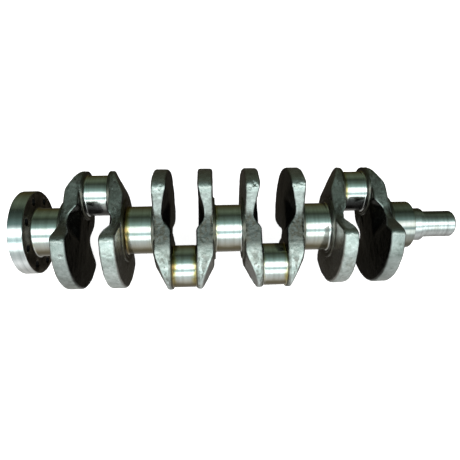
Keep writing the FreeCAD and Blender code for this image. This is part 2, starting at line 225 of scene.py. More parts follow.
def outline_distance(points, p, q):
    """Signed distance (negative inside) from grid points to a closed outline."""
    best = np.full(p.shape, 1e9)
    inside = np.zeros(p.shape, bool)
    for a, b in zip(points, np.roll(points, -1, axis=0)):
        d = b - a
        if d @ d < 1e-12:
            continue
        t = np.clip(((p - a[0]) * d[0] + (q - a[1]) * d[1]) / (d @ d), 0, 1)
        best = np.minimum(best, np.hypot(p - a[0] - t * d[0], q - a[1] - t * d[1]))
        if abs(d[1]) > 1e-9:
            spans = (a[1] > q) != (b[1] > q)
            inside ^= spans & (p < a[0] + (q - a[1]) * d[0] / d[1])
    return np.where(inside, -best, best)


# ---------------------------------------------------------------- forged web as a field

def soft_max(a, b, k):
    h = np.clip(0.5 + 0.5 * (a - b) / k, 0, 1)
    return b * (1 - h) + a * h + k * h * (1 - h)


def soft_min(a, b, k):
    return -soft_max(-a, -b, k)


def lumps(shape, cells, rng):
    """Smooth random field over a grid, one lump every so many cells."""
    sizes = [int(n / cells) + 3 for n in shape]
    field = rng.standard_normal(sizes)
    for axis, n in enumerate(shape):
        t = np.arange(n) / cells + rng.random()
        i = t.astype(int)
        w = t - i
        w = w * w * (3 - 2 * w)
        w = w.reshape([-1 if a == axis else 1 for a in range(3)])
        field = np.take(field, i, axis) * (1 - w) + np.take(field, i + 1, axis) * w
    return field


def web_field(kind, cone, hollows, cheeks, rng):
    """Signed distance of a forged web on a grid. Returns the field and the grid's three axes.

    x runs from the main journal's side to the crankpin's, p toward the crankpin, q sideways.
    """
    x = np.arange(-5.0, BODY_T + 5.0, STEP)
    p = np.arange(-kind["radius"] - 3.0, THROW + kind["boss"] + 3.0, STEP)
    q = np.arange(-70.0, 70.0, STEP)
    pp, qq = np.meshgrid(p, q, indexing="ij")
    flat = outline_distance(web_outline(**kind), pp, qq)[None]
    x3, p3, q3 = x[:, None, None], p[None, :, None], q[None, None, :]
    edge = 3.4
    # cheeks beside the crankpin rise to its land
    rise = PIN_LAND * np.clip((p3 - 1.0) / 9.0, 0, 1)
    if len(cheeks) == 1:
        rise = rise * np.clip((cheeks[0] * q3 - 10.0) / 4.0, 0, 1)
    thick = np.maximum(x3 - BODY_T - rise, -x3) + 0.012 * np.abs(q3)
    a, b = flat + edge, thick + edge
    d = np.minimum(np.maximum(a, b), 0) + np.hypot(np.maximum(a, 0), np.maximum(b, 0)) - edge
    # the chamfer on the main side of the tip
    r_main = np.hypot(p3, q3)
    tip = ((r_main - cone[0]) * cone[1] - x3) / math.hypot(1, cone[1])
    d = np.where(p3 > 15.0, soft_max(d, tip, 1.6), d)
    for side, depth, ramp in hollows:
        slope = depth / 21.0
        away = (BODY_T - slope * (side * q3 - 17.0) - x3) / math.hypot(1, slope)
        fall, climb = depth / (ramp[1] - ramp[0]), depth / (ramp[3] - ramp[2])
        down = (BODY_T - (p3 - ramp[0]) * fall - x3) / math.hypot(1, fall)
        up = (BODY_T - (ramp[3] - p3) * climb - x3) / math.hypot(1, climb)
        floor = BODY_T - depth - x3
        cut = soft_max(soft_max(away, floor, 2.0), soft_max(down, up, 2.5), 2.0)
        d = soft_max(d, -cut, 1.8)
    # pads that carry the land rings
    pad = np.maximum(r_main - LAND_R + 0.4, np.abs(x3 + 0.2) - 1.2)
    d = soft_min(d, pad, 1.2)
    r_pin = np.hypot(p3 - THROW, q3)
    pad = np.maximum(r_pin - kind["boss"] + 0.8, np.abs(x3 - BODY_T) - 1.2)
    d = soft_min(d, pad, 1.6)
    # uneven forged skin
    for cells, height in ((16, 0.16), (7, 0.11), (3.2, 0.07)):
        d = d + height * lumps(d.shape, cells, rng)
    return d, x, p, q


def dent(d, axes, at, radius):
    """Presses a ball-shaped dent into the field at a surface point."""
    x, p, q = axes
    spot = np.sqrt((x[:, None, None] - at[0]) ** 2 + (p[None, :, None] - at[1]) ** 2
                   + (q[None, None, :] - at[2]) ** 2)
    near = spot < radius + 2
    d[near] = soft_max(d[near], radius - spot[near], 0.5)


def surface_net(field, axes):
    """Vertices and quads of the zero surface of a grid field, one vertex per crossed cell."""
    inside = field < 0
    shape = np.array(field.shape) - 1
    corner = [(i, j, k) for i in (0, 1) for j in (0, 1) for k in (0, 1)]

    def view(array, c):
        return array[c[0]:c[0] + shape[0], c[1]:c[1] + shape[1], c[2]:c[2] + shape[2]]

    count = sum(view(inside, c).astype(np.int8) for c in corner)
    cells = np.argwhere((count > 0) & (count < 8))
    number = np.full(tuple(shape), -1, np.int64)
    number[tuple(cells.T)] = np.arange(len(cells))
    total = np.zeros((len(cells), 3))
    hits = np.zeros(len(cells))
    for a in corner:
        for axis in range(3):
            if a[axis]:
                continue
            b = tuple(1 if i == axis else a[i] for i in range(3))
            va = field[tuple((cells + a).T)]
            vb = field[tuple((cells + b).T)]
            cross = (va < 0) != (vb < 0)
            t = np.where(cross, va / np.where(cross, va - vb, 1), 0)
            spot = cells + np.array(a, float)
            spot[:, axis] += t
            total[cross] += spot[cross]
            hits += cross
    grid = total / hits[:, None]
    verts = np.stack([np.interp(grid[:, i], np.arange(len(axes[i])), axes[i]) for i in range(3)], 1)
    quads = []
    for axis in range(3):
        lo = [slice(None)] * 3
        hi = [slice(None)] * 3
        lo[axis], hi[axis] = slice(None, -1), slice(1, None)
        change = inside[tuple(lo)] != inside[tuple(hi)]
        edges = np.argwhere(change)
        u, v = (axis + 1) % 3, (axis + 2) % 3
        ok = (edges[:, u] > 0) & (edges[:, v] > 0) & (edges[:, u] < shape[u]) & (edges[:, v] < shape[v])
        edges = edges[ok]
        ring = []
        for du, dv in ((-1, -1), (0, -1), (0, 0), (-1, 0)):
            cell = edges.copy()
            cell[:, u] += du
            cell[:, v] += dv
            ring.append(number[tuple(cell.T)])
        ring = np.stack(ring, 1)
        starts_inside = inside[tuple(edges.T)]
        ring[~starts_inside] = ring[~starts_inside][:, ::-1]
        quads.append(ring)
    return verts, np.concatenate(quads)


def set_attribute(obj, name, values):
    layer = obj.data.attributes.new(name, "FLOAT", "POINT")
    layer.data.foreach_set("value", np.asarray(values, np.float32))


def forged_web(number, k, toward_nose):
    """Builds web `number` beside crankpin k and puts it in place."""
    kind = OUTER if k in (0, 3) else INNER
    rng = np.random.default_rng(100 + number)
    end = number in (1, 8)
    hollows = END_HOLLOWS if end else SECOND_HOLLOWS if k in (0, 3) else INNER_HOLLOWS
    cone = END_TIP_CONE if end else TIP_CONE
    cheeks = (-1,) if k in (0, 3) else (-1, 1)
    field, x, p, q = web_field(kind, cone, hollows, cheeks, rng)
    outline = web_outline(**kind)
    for _ in range(26):
        spot = outline[rng.integers(len(outline))]
        size = rng.uniform(1.2, 3.0)
        lift = 1 + (size - rng.uniform(0.25, 0.5)) / np.linalg.norm(spot)
        dent(field, (x, p, q), (rng.uniform(2, BODY_T - 2), *(spot * lift)), size)
    if number == 8:
        for spot in ((12.4, -47.3, 57.0), (10.5, -55.6, 50.1)):
            dent(field, (x, p, q), spot, 2.7)
    verts, quads = surface_net(field, (x, p, q))
    local = verts.copy()
    s = PIN_SIGN[k]
    start = main_x(k) + MAIN_LEN / 2 if toward_nose else main_x(k + 1) - MAIN_LEN / 2
    way = 1 if toward_nose else -1
    verts = np.stack([start + way * (local[:, 0] + MAIN_LAND), s * local[:, 1], s * local[:, 2]], 1)
    if way < 0:
        quads = quads[:, ::-1]
    web = add_grid_mesh("web_%d" % number, verts, quads)
    normals = np.empty(len(web.data.vertices) * 3, np.float32)
    web.data.vertex_normals.foreach_get("vector", normals)
    facing = normals.reshape(-1, 3)[:, 0] * way
    set_attribute(web, "pin_side", np.clip((facing - 0.35) / 0.5, 0, 1))
    set_attribute(web, "main_side", np.clip((-facing - 0.35) / 0.5, 0, 1))
    near_main = np.hypot(local[:, 1], local[:, 2]) - LAND_R
    near_pin = np.hypot(local[:, 1] - THROW, local[:, 2]) - kind["boss"]
    near = np.where(facing > 0, np.abs(near_pin), near_main)
    set_attribute(web, "darker_near_journal_land", np.exp(-np.clip(near, 0, 50) / 7.0))
    # painted shade: webs 3 to 6 are darkened between waist and crankpin, webs 1 and 8 on their counterweight
    # rim
    p = local[:, 1]
    rim = np.clip(1 - np.abs(facing) * 2, 0, 1)
    middle = -2.0 if k in (0, 3) else 10.0
    set_attribute(web, "grooved", rim * np.clip((16.0 - np.abs(p - middle)) / 5.0, 0, 1))
    if k in (1, 2):
        web_painted_shade = 0.93 * np.clip((p + 6.0) / 4.0, 0, 1) * np.clip((38.0 - p) / 11.0, 0, 1)
    elif end:
        web_painted_shade = 0.42 * np.clip((-8.0 - p) / 8.0, 0, 1)
    else:
        web_painted_shade = 0.0 * p
    set_attribute(web, "web_painted_shade", web_painted_shade)
    return web


# ---------------------------------------------------------------- turned and ground pieces

def land_end(x, way, land_r, core_r, depth):
    """Profile from the buried end of a land ring down to its journal, running along way."""
    f = 2.5
    pts = [(x - way * depth, land_r - 0.2), (x - way * 0.7, land_r), (x - way * 0.2, land_r - 0.2),
           (x, land_r - 0.8), (x, core_r + 5.4), (x - way * 0.25, core_r + 5.0),
           (x - way * 0.25, core_r + 4.2), (x, core_r + 3.8), (x, core_r + f + 0.2)]
    steps = np.radians(np.linspace(0, 90, 7))
    for a in steps:
        pts.append((x + way * f * (1 - math.cos(a)), core_r - 0.12 + f * (1 - math.sin(a))))
    pts += [(x + way * (f + 0.9), core_r - 0.12), (x + way * (f + 1.1), core_r)]
    return pts


def ring_journal(name, x0, x1, core_r, land_r, y, depth):
    left = land_end(x0, 1, land_r, core_r, depth)
    right = land_end(x1, -1, land_r, core_r, depth)[::-1]
    bare = [(x0 + 3.7 + t * (x1 - x0 - 7.4), core_r) for t in np.linspace(0, 1, 9)[1:-1]]
    return lathe(name, [(left[0][0], 1.0)] + left + bare + right + [(right[-1][0], 1.0)], y)


def journal_attributes(obj, x0, x1, core_r, y, stain):
    n = len(obj.data.vertices)
    co = np.empty(n * 3, np.float32)
    obj.data.vertices.foreach_get("co", co)
    co = co.reshape(-1, 3) * 1000.0
    r = np.hypot(co[:, 1] - y, co[:, 2])
    left = np.clip(1 - (co[:, 0] - x0 - 1.5) / 9.0, 0, 1) * stain[0]
    right = np.clip(1 - (x1 - co[:, 0] - 1.5) / 9.0, 0, 1) * stain[1]
    set_attribute(obj, "edge", np.maximum(left, right))
    set_attribute(obj, "land", np.clip((r - core_r - 0.4) / 1.0, 0, 1))


def pin_and_main_pieces():
    pieces = []
    for k in range(5):
        name = "main_journal_%d" % (5 - k)
        x0, x1 = main_x(k) - MAIN_LEN / 2, main_x(k) + MAIN_LEN / 2
        if k == 0:
            x0 = FLANGE_T
            left = [(x0 - 2.6, 1.0), (x0 - 2.6, MAIN_R + 2.2), (x0, MAIN_R + 2.2)]
            left += [(x0 + 2.3 * (1 - math.cos(a)), MAIN_R - 0.05 + 2.25 * (1 - math.sin(a)))
                     for a in np.radians(np.linspace(10, 90, 7))]
            bare = [(x, MAIN_R) for x in (24, 30, 38, 44)]
            right = land_end(x1, -1, LAND_R, MAIN_R, 3.0)[::-1]
            obj = lathe(name, left + bare + right + [(right[-1][0], 1.0)])
        elif k == 4:
            x1 = LAST_MAIN_END
            left = land_end(x0, 1, LAND_R, MAIN_R, 3.0)
            bare = [(x, MAIN_R) for x in (462, 468, 475, 480, x1 - 0.8)]
            right = [(x1 - 0.2, MAIN_R - 0.4), (x1, MAIN_R - 1.0), (x1, 1.0)]
            obj = lathe(name, [(left[0][0], 1.0)] + left + bare + right)
        else:
            obj = ring_journal(name, x0, x1, MAIN_R, LAND_R, 0.0, 3.0)
        journal_attributes(obj, x0, x1, MAIN_R, 0.0, MAIN_STAIN[k])
        if k != 2:
            cut_with(obj, [drill((main_x(k), 0, -36), (main_x(k), 0, -14), OIL_HOLE)])
        pieces.append(obj)
    for k in range(4):
        y = PIN_SIGN[k] * THROW
        x0, x1 = pin_x(k) - PIN_LEN / 2, pin_x(k) + PIN_LEN / 2
        boss = (OUTER if k in (0, 3) else INNER)["boss"]
        if boss > 30:
            obj = ring_journal("crankpin_%d" % (4 - k), x0, x1, PIN_R, boss - 0.4, y, 3.6)
        else:
            obj = small_boss_pin("crankpin_%d" % (4 - k), x0, x1, boss - 0.4, y)
        journal_attributes(obj, x0, x1, PIN_R, y, PIN_STAIN[k])
        hole_y = PIN_SIGN[k] * 67.0 * 54.5 / OIL_REACH
        cut_with(obj, [drill((pin_x(k), hole_y, -32), (pin_x(k), hole_y, -12), PIN_OIL_HOLE)])
        pieces.append(obj)
    return pieces


def small_boss_pin(name, x0, x1, land_r, y):
    """A crankpin whose land is little larger than its fillet."""
    def end(x, way):
        f = land_r - PIN_R - 0.3
        pts = [(x - way * 3.6, land_r - 0.2), (x - way * 0.6, land_r), (x - way * 0.1, land_r - 0.15)]
        for a in np.radians(np.linspace(0, 90, 7)):
            pts.append((x + way * f * (1 - math.cos(a)), PIN_R - 0.12 + f * (1 - math.sin(a))))
        return pts + [(x + way * (f + 0.9), PIN_R - 0.12), (x + way * (f + 1.1), PIN_R)]
    left, right = end(x0, 1), end(x1, -1)[::-1]
    bare = [(x0 + 4 + t * (x1 - x0 - 8), PIN_R) for t in np.linspace(0, 1, 9)[1:-1]]
    return lathe(name, [(left[0][0], 1.0)] + left + bare + right + [(right[-1][0], 1.0)], y)


def bolt_place(degrees):
    a = math.radians(degrees)
    return BOLT_CIRCLE_R * math.cos(a), BOLT_CIRCLE_R * math.sin(a)


def flange_piece():
    r, t = FLANGE_R, FLANGE_T
    profile = [(0, 1.0), (0, r - 1.2), (0.3, r - 0.6), (1.0, r), (4, r), (8, r), (13, r),
               (t - 1.0, r), (t - 0.3, r - 0.6), (t, r - 1.2), (t, 42.0), (t, 31.0), (t, 1.0)]
    obj = lathe("flywheel_flange", profile, segments=224)
    wide, middle, tight = BOLT_HOLE_R + 1.2, BOLT_HOLE_R + 0.55, BOLT_HOLE_R
    through = [(0, wide), (0.051, middle), (0.078, tight), (0.922, tight), (0.949, middle), (1, wide)]
    tools = []
    for k in range(8):
        y, z = bolt_place(45 * k)
        tools.append(drill((-1, y, z), (t + 1, y, z), through))
    y, z = bolt_place(-22.5)
    blind = [(0, DOWEL_R + 0.9), (0.1, DOWEL_R + 0.4), (0.14, DOWEL_R), (1, DOWEL_R)]
    tools.append(drill((-1, y, z), (DOWEL_DEPTH, y, z), blind))
    cut_with(obj, tools)
    length = BEARING_DEPTH + 3.5
    shoulder = (BEARING_DEPTH + 1) / length
    stepped = [(0, BEARING_R + 1.6), (0.06, BEARING_R + 0.6), (0.09, BEARING_R),
               (shoulder - 0.0006, BEARING_R), (shoulder, BEARING_R - 5), (1, BEARING_R - 5)]
    cut_with(obj, [drill((-1, 0, 0), (length - 1, 0, 0), stepped)])
    co = np.empty(len(obj.data.vertices) * 3, np.float32)
    obj.data.vertices.foreach_get("co", co)
    co = co.reshape(-1, 3) * 1000.0
    spots = [bolt_place(45 * k) for k in range(8)]
    away = np.min([np.hypot(co[:, 1] - y, co[:, 2] - z) for y, z in spots], axis=0)
    set_attribute(obj, "bolt_hole_painted_shade", away < BOLT_HOLE_R + 0.2)
    return obj


def key_slot_tool(x, sides=48):
    angles = np.linspace(0, 2 * math.pi, sides, endpoint=False)
    across = x + KEY_DISC_R * np.cos(angles)
    ring = np.stack([across, np.zeros(sides), KEY_Z + KEY_DISC_R * np.sin(angles)], 1)
    verts = np.concatenate([ring + [0, -KEY_W / 2, 0], ring + [0, KEY_W / 2, 0]])
    faces = [tuple(range(sides)), tuple(range(2 * sides - 1, sides - 1, -1))]
    faces += [(i, sides + i, sides + (i + 1) % sides, (i + 1) % sides) for i in range(sides)]
    return add_mesh("tool", verts, faces)


def nose_piece():
    start, seat, end = LAST_MAIN_END, SEAT_END, NOSE_END
    r = SEAT_R
    profile = [(start - 4, 1.0), (start - 4, r + 0.6), (start, r + 0.6), (start + 0.5, r + 0.05),
               (start + 1.2, r), (start + 9, r), (seat - 1.2, r), (seat - 0.4, r - 0.4), (seat, r - 1.1)]
    r = NOSE_R
    profile += [(seat, r + 0.65), (seat + 0.3, r - 0.05), (seat + 1.1, r - 0.25), (seat + 1.9, r - 0.15),
                (seat + 2.2, r), (512, r), (522, r), (532, r), (end - 2.7, r),
                (end - 1.7, r - 0.55), (end - 0.4, r - 1.85), (end, r - 2.55)]
    profile += [(end, THREAD_R + 1.7), (end - 0.6, THREAD_R + 1.3)]
    x = end - 2.4
    while x > end - THREAD_DEPTH:
        profile += [(x, THREAD_R), (x - THREAD_PITCH / 2, THREAD_R - 0.7)]
        x -= THREAD_PITCH
    profile += [(end - THREAD_DEPTH - 1, THREAD_R - 0.7), (end - THREAD_DEPTH - 4, 1.0)]
    obj = lathe("gear_seat_and_nose", profile)
    cut_with(obj, [key_slot_tool(x) for x in KEY_X])
    return obj


# ---------------------------------------------------------------- materials

class Nodes:
    """Small helper for building a node material."""

    def __init__(self, name):
        self.mat = bpy.data.materials.new(name)
        self.mat.use_nodes = True
        self.tree = self.mat.node_tree
        self.bsdf = self.tree.nodes["Principled BSDF"]
        self.coords = self.tree.nodes.new("ShaderNodeTexCoord").outputs["Object"]

    def link(self, source, target):
        if isinstance(source, (int, float)):
            target.default_value = source
        elif isinstance(source, tuple):
            target.default_value = (*source, 1.0) if len(source) == 3 else source
        else:
            self.tree.links.new(source, target)

    def scaled(self, x, y, z):
        node = self.tree.nodes.new("ShaderNodeMapping")
        node.inputs["Scale"].default_value = (x, y, z)
        self.link(self.coords, node.inputs["Vector"])
        return node.outputs["Vector"]

    def noise(self, scale, detail=5.0, rough=0.55, vector=None):
        node = self.tree.nodes.new("ShaderNodeTexNoise")
        node.inputs["Scale"].default_value = scale
        node.inputs["Detail"].default_value = detail
        node.inputs["Roughness"].default_value = rough
        self.link(vector or self.coords, node.inputs["Vector"])
        return node.outputs["Fac"]

    def cells(self, scale):
        node = self.tree.nodes.new("ShaderNodeTexVoronoi")
        node.inputs["Scale"].default_value = scale
        self.link(self.coords, node.inputs["Vector"])
        return node.outputs["Distance"]

    def attribute(self, name):
        node = self.tree.nodes.new("ShaderNodeAttribute")
        node.attribute_name = name
        return node.outputs["Fac"]

    def math(self, kind, a, b=0.0, clamp=False):
        node = self.tree.nodes.new("ShaderNodeMath")
        node.operation = kind
        node.use_clamp = clamp
        self.link(a, node.inputs[0])
        self.link(b, node.inputs[1])
        return node.outputs[0]

    def facing_y(self):
        """Y part of the surface normal."""
        geo = self.tree.nodes.new("ShaderNodeNewGeometry")
        split = self.tree.nodes.new("ShaderNodeSeparateXYZ")
        self.link(geo.outputs["Normal"], split.inputs[0])
        return split.outputs["Y"]

    def spread(self, value, low, high, out_low=0.0, out_high=1.0):
        node = self.tree.nodes.new("ShaderNodeMapRange")
        self.link(value, node.inputs["Value"])
        ends = {"From Min": low, "From Max": high, "To Min": out_low, "To Max": out_high}
        for socket, number in ends.items():
            node.inputs[socket].default_value = number
        return node.outputs["Result"]

    def ramp(self, value, stops):
        node = self.tree.nodes.new("ShaderNodeValToRGB")
        band = node.color_ramp
        while len(band.elements) < len(stops):
            band.elements.new(0.5)
        for element, (place, colour) in zip(band.elements, stops):
            element.position = place
            element.color = (*colour, 1.0)
        self.link(value, node.inputs["Fac"])
        return node.outputs["Color"]

    def mix(self, share, a, b):
        node = self.tree.nodes.new("ShaderNodeMix")
        node.data_type = "RGBA"
        self.link(share, node.inputs["Factor"])
        self.link(a, node.inputs[6])
        self.link(b, node.inputs[7])
        return node.outputs[2]

    def bump(self, height, strength, distance, under=None):
        node = self.tree.nodes.new("ShaderNodeBump")
        node.inputs["Strength"].default_value = strength
        node.inputs["Distance"].default_value = distance
        self.link(height, node.inputs["Height"])
        if under is not None:
            self.link(under, node.inputs["Normal"])
        return node.outputs["Normal"]

    def finish(self, colour, rough, metal, normal=None):
        self.link(colour, self.bsdf.inputs["Base Color"])
        self.link(rough, self.bsdf.inputs["Roughness"])
        self.link(metal, self.bsdf.inputs["Metallic"])
        if normal is not None:
            self.link(normal, self.bsdf.inputs["Normal"])
        return self.mat


def forged_material():
    n = Nodes("forged_steel")
    broad = n.noise(55, 4)
    mid = n.noise(210, 6, 0.6)
    fine = n.noise(900, 5, 0.65)
    pits = n.cells(520)
    tone = n.math("ADD", n.math("MULTIPLY", broad, 0.5), n.math("MULTIPLY", mid, 0.5))
    scale = n.ramp(tone, [(0.32, (0.22, 0.245, 0.225)), (0.44, (0.42, 0.465, 0.44)),
                          (0.54, (0.56, 0.61, 0.59)), (0.70, (0.74, 0.79, 0.77))])
    speck = n.spread(fine, 0.60, 0.72)
    scale = n.mix(n.math("MULTIPLY", speck, 0.45), scale, (0.07, 0.07, 0.06))
    rust = n.math("MULTIPLY", n.spread(n.noise(34, 6, 0.7), 0.58, 0.74), 0.35)
    scale = n.mix(rust, scale, (0.25, 0.20, 0.11))
    streak = n.noise(1.0, 4, 0.6, n.scaled(40, 1500, 60))
    grooved = n.attribute("grooved")
    dark = n.math("MULTIPLY", grooved, n.spread(streak, 0.42, 0.62, 0.25, 0.9))
    scale = n.mix(dark, scale, (0.13, 0.14, 0.13))
    # painted shade on webs 3 to 6 and on the rims of webs 1 and 8, mixed toward dark grey
    scale = n.mix(n.math("MULTIPLY", n.attribute("web_painted_shade"), n.spread(mid, 0.3, 0.7, 0.9, 1.0), True),
                  scale, (0.085, 0.095, 0.088))
    # pin-side faces go near black: oil stain and painted shade in the recess beside the crankpin
    oil_and_painted_shade = n.math("MULTIPLY", n.attribute("pin_side"), n.spread(broad, 0.2, 0.5, 0.86, 0.98))
    scale = n.mix(oil_and_painted_shade, scale, (0.018, 0.017, 0.015))
    brown = n.math("MULTIPLY", n.attribute("main_side"), n.spread(mid, 0.3, 0.7, 0.5, 0.85))
    scale = n.mix(brown, scale, (0.11, 0.080, 0.062))
    # darker towards the journal lands and crankpin bosses
    darker_near_journal_land = n.math("MULTIPLY", n.attribute("darker_near_journal_land"), n.spread(mid, 0.35, 0.65, 0.2, 0.8))
    scale = n.mix(darker_near_journal_land, scale, (0.07, 0.06, 0.04))
    # painted shade: faces turned toward +Y (image top) are darkened
    oil_film_and_painted_shade = n.math("ADD", n.facing_y(), n.math("MULTIPLY", broad, 0.3))
    scale = n.mix(n.math("MULTIPLY", n.spread(oil_film_and_painted_shade, 0.25, 0.75), 0.55, True), scale, (0.10, 0.105, 0.09))
    rough = n.spread(fine, 0.3, 0.7, 0.24, 0.37)
    height = n.math("ADD", n.math("MULTIPLY", mid, 0.7), n.math("MULTIPLY", fine, 0.3))
    normal = n.bump(height, 0.5, 0.0008)
    normal = n.bump(n.spread(pits, 0.0, 0.22), 0.35, 0.0003, normal)
    normal = n.bump(n.math("MULTIPLY", streak, grooved), 0.5, 0.0004, normal)
    return n.finish(scale, rough, 0.97, normal)


def ground_material(name, painted_shadow_share=0.0, under_shade_colour=(0.125, 0.10, 0.045)):
    n = Nodes(name)
    lines = n.noise(1.0, 3, 0.6, n.scaled(2600, 14, 14))
    worn = n.noise(1.0, 3, 0.5, n.scaled(300, 9, 9))
    cloud = n.noise(60, 5, 0.6)
    blot = n.noise(190, 5, 0.65)
    base = n.ramp(worn, [(0.3, (0.65, 0.66, 0.64)), (0.5, (0.75, 0.77, 0.76)), (0.7, (0.82, 0.84, 0.83))])
    oil_film_and_painted_shade = n.math("MULTIPLY", n.spread(cloud, 0.50, 0.62), 0.30)
    base = n.mix(oil_film_and_painted_shade, base, (0.58, 0.57, 0.44))
    edge = n.attribute("edge")
    patch = n.math("ADD", n.math("MULTIPLY", cloud, 0.9), n.math("MULTIPLY", blot, 0.5))
    yellow = n.math("MULTIPLY", n.spread(n.math("ADD", edge, patch), 1.12, 1.5), 0.9, True)
    base = n.mix(yellow, base, (0.50, 0.42, 0.13))
    brown = n.math("MULTIPLY", n.spread(n.math("ADD", edge, patch), 1.42, 1.7), 0.85, True)
    base = n.mix(brown, base, (0.15, 0.08, 0.022))
    # painted shade: faces turned toward -Y (the undersides) go dark brown, near black on crankpins 1 and 4
    low = n.math("ADD", n.facing_y(), n.math("MULTIPLY", cloud, 0.16))
    under = n.math("MULTIPLY", n.spread(low, -0.56, -0.86), 0.95, True)
    base = n.mix(under, base, under_shade_colour)
    # painted shadow: the whole journal is darkened by this share (main journal 1, shaded by web 1)
    base = n.mix(painted_shadow_share, base, (0.10, 0.105, 0.095))
    land = n.attribute("land")
    base = n.mix(n.math("MULTIPLY", land, 0.92), base, (0.085, 0.08, 0.06))
    rough = n.math("ADD", n.spread(lines, 0.3, 0.7, 0.05, 0.11), n.math("MULTIPLY", land, 0.22))
    normal = n.bump(lines, 0.06, 0.0002)
    normal = n.bump(blot, 0.10, 0.0005, normal)
    return n.finish(base, rough, 1.0, normal)


def turned_material(name, light, dark, pitch=1800):
    n = Nodes(name)
    lines = n.noise(1.0, 4, 0.7, n.scaled(pitch, 10, 10))
    bands = n.noise(1.0, 3, 0.5, n.scaled(230, 6, 6))
    cloud = n.noise(70, 5, 0.6)
    base = n.ramp(bands, [(0.32, dark), (0.5, light), (0.7, tuple(min(1, c * 1.12) for c in light))])
    base = n.mix(n.math("MULTIPLY", n.spread(cloud, 0.55, 0.72), 0.35), base, (0.40, 0.36, 0.26))
    # painted shade: faces turned toward +Y are darkened, faces turned toward -Y a little darker too
    oil_film_and_painted_shade = n.math("MULTIPLY", n.spread(n.facing_y(), 0.25, 0.60), 0.85)
    base = n.mix(oil_film_and_painted_shade, base, (0.10, 0.10, 0.09))
    low = n.math("MULTIPLY", n.spread(n.facing_y(), -0.50, -0.75), 0.4)
    base = n.mix(low, base, (0.16, 0.155, 0.145))
    rough = n.spread(lines, 0.3, 0.7, 0.14, 0.25)
    return n.finish(base, rough, 1.0, n.bump(lines, 0.15, 0.0003))


def flange_material():
    """Bright turned rim, brown faces."""
    n = Nodes("turned_flange")
    lines = n.noise(1.0, 4, 0.7, n.scaled(1500, 8, 8))
    bands = n.noise(1.0, 3, 0.5, n.scaled(210, 5, 5))
    cloud = n.noise(80, 6, 0.62)
    rim = n.ramp(bands, [(0.32, (0.56, 0.58, 0.58)), (0.5, (0.72, 0.75, 0.75)), (0.7, (0.84, 0.86, 0.86))])
    face = n.ramp(cloud, [(0.3, (0.035, 0.03, 0.022)), (0.5, (0.09, 0.075, 0.055)),
                          (0.7, (0.19, 0.165, 0.13))])
    geo = n.tree.nodes.new("ShaderNodeNewGeometry")
    split = n.tree.nodes.new("ShaderNodeSeparateXYZ")
    n.link(geo.outputs["True Normal"], split.inputs[0])
    place = n.tree.nodes.new("ShaderNodeVectorMath")
    place.operation = "LENGTH"
    n.link(n.scaled(0, 1, 1), place.inputs[0])
    inner = n.spread(place.outputs["Value"], 0.0501, 0.0497)
    side = n.math("MAXIMUM", n.spread(n.math("ABSOLUTE", split.outputs["X"]), 0.75, 0.95), inner)
    rough = n.mix(side, (0.11, 0.11, 0.11), (0.5, 0.5, 0.5))
    # painted shade: darker bands on the rim, set by normal direction, above and below its highlight
    upper = n.math("MULTIPLY", n.spread(n.facing_y(), -0.24, -0.18), n.spread(n.facing_y(), 0.26, 0.17))
    rim = n.mix(n.math("MULTIPLY", upper, 0.62), rim, (0.13, 0.17, 0.175))
    lower = n.math("MULTIPLY", n.spread(n.facing_y(), -0.64, -0.74), n.spread(n.facing_y(), -0.88, -0.80))
    rim = n.mix(n.math("MULTIPLY", lower, 0.35), rim, (0.15, 0.16, 0.16))
    colour = n.mix(side, rim, face)
    # painted shade: bolt hole walls near black
    colour = n.mix(n.attribute("bolt_hole_painted_shade"), colour, (0.004, 0.004, 0.004))
    return n.finish(colour, rough, 1.0, n.bump(lines, 0.12, 0.0003))


def small_steel(name, colour, rough, metal=1.0, wear=0.25):
    n = Nodes(name)
    cloud = n.noise(900, 5, 0.6)
    broad = n.noise(260, 4, 0.6)
    darker = tuple(c * 0.55 for c in colour)
    base = n.mix(n.spread(broad, 0.35, 0.7), colour, darker)
    base = n.mix(n.math("MULTIPLY", n.spread(cloud, 0.58, 0.75), wear), base, (0.16, 0.11, 0.06))
    return n.finish(base, n.spread(cloud, 0.3, 0.7, rough, rough + 0.14), metal, n.bump(cloud, 0.12, 0.0001))


def put_material(obj, mat):
    obj.data.materials.clear()
    obj.data.materials.append(mat)
    obj.data.polygons.foreach_set("material_index", np.zeros(len(obj.data.polygons), np.int32))


def dress_cad_nodes():
    steels = {
        "flywheel_dowel_pin": small_steel("dowel_steel", (0.60, 0.60, 0.58), 0.22),
        "timing_gear_key": small_steel("key_steel", (0.40, 0.40, 0.41), 0.34),
        "pilot_bearing_outer_ring": small_steel("ring_steel", (0.66, 0.67, 0.68), 0.14, wear=0.1),
        "pilot_ball_1": small_steel("ball_steel", (0.80, 0.80, 0.81), 0.07, wear=0.0),
        "pilot_cage_half_front": small_steel("cage_steel", (0.52, 0.50, 0.43), 0.35),
        "pilot_shield_front": small_steel("shield_steel", (0.36, 0.36, 0.36), 0.40),
        "oil_gallery_plug_1": small_steel("plug_steel", (0.34, 0.31, 0.27), 0.42, wear=0.5),
    }
    steels["pulley_key"] = steels["timing_gear_key"]
    steels["pilot_bearing_inner_ring"] = steels["pilot_bearing_outer_ring"]
    steels["pilot_cage_half_rear"] = steels["pilot_cage_rivets"] = steels["pilot_cage_half_front"]
    steels["pilot_shield_rear"] = steels["pilot_shield_front"]
    for k in range(2, 9):
        steels["pilot_ball_%d" % k] = steels["pilot_ball_1"]
    for k in (2, 3, 4):
        steels["oil_gallery_plug_%d" % k] = steels["oil_gallery_plug_1"]
    for node, mat in steels.items():
        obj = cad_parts[node]
        if obj.material_slots:
            for slot in obj.material_slots:
                slot.link = "OBJECT"
                slot.material = mat
        else:
            obj.data.materials.append(mat)


# ---------------------------------------------------------------- build

